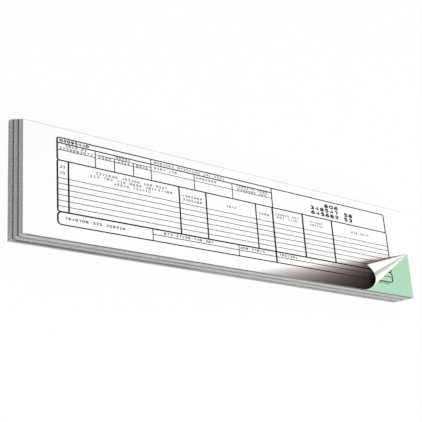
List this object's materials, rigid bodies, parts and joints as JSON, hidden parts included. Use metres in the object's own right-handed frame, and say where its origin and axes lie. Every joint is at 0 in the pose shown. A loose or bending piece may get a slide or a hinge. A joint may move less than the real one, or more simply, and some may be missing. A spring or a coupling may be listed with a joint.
{
  "type": "duplicate receipt book",
  "caption": "Long, low glued pad of two-sheet sets, white over green, on a grey board; the top sheet's corner curls back over the page.",
  "frame": {"origin": "on the backing board's underside, below the middle of the top sheet", "axes": "+X along the lines of the form to the reader's right, +Y up the page to the glued head, +Z out of the page"},
  "size_m": [0.2104, 0.0489, 0.0147],
  "materials": {
    "white_paper": "matte uncoated white copy paper, printed in black",
    "green_paper": "matte uncoated pale green copy paper, printed in black",
    "greyboard": "matte light grey recycled board",
    "padding_glue": "thin brushed film of white padding glue"
  },
  "bodies": {
    "pad": {"backing_board": "greyboard", "padding_glue": "padding_glue", "original_02": "white_paper", "original_03": "white_paper", "original_04": "white_paper", "original_05": "white_paper", "original_06": "white_paper", "original_07": "white_paper", "original_08": "white_paper", "original_09": "white_paper", "original_10": "white_paper", "duplicate_02": "green_paper", "duplicate_03": "green_paper", "duplicate_04": "green_paper", "duplicate_05": "green_paper", "duplicate_06": "green_paper", "duplicate_07": "green_paper", "duplicate_08": "green_paper", "duplicate_09": "green_paper", "duplicate_10": "green_paper", "originals_11_20": "white_paper", "originals_21_30": "white_paper", "originals_31_40": "white_paper", "originals_41_50": "white_paper", "duplicates_11_20": "green_paper", "duplicates_21_30": "green_paper", "duplicates_31_40": "green_paper", "duplicates_41_50": "green_paper"},
    "duplicate_leaf": {"duplicate_01": "green_paper"},
    "original_leaf": {"original_01": "white_paper"}
  },
  "joints": [
    {"name": "duplicate_turn", "type": "hinge", "parent": "pad", "child": "duplicate_leaf", "pos_m": [0, 0.02225, 0.0111], "axis": [-1, 0, 0], "range_deg": [0, 60]},
    {"name": "original_turn", "type": "hinge", "parent": "duplicate_leaf", "child": "original_leaf", "pos_m": [0, 0.02225, 0.0112], "axis": [-1, 0, 0], "range_deg": [0, 118]}
  ]
}
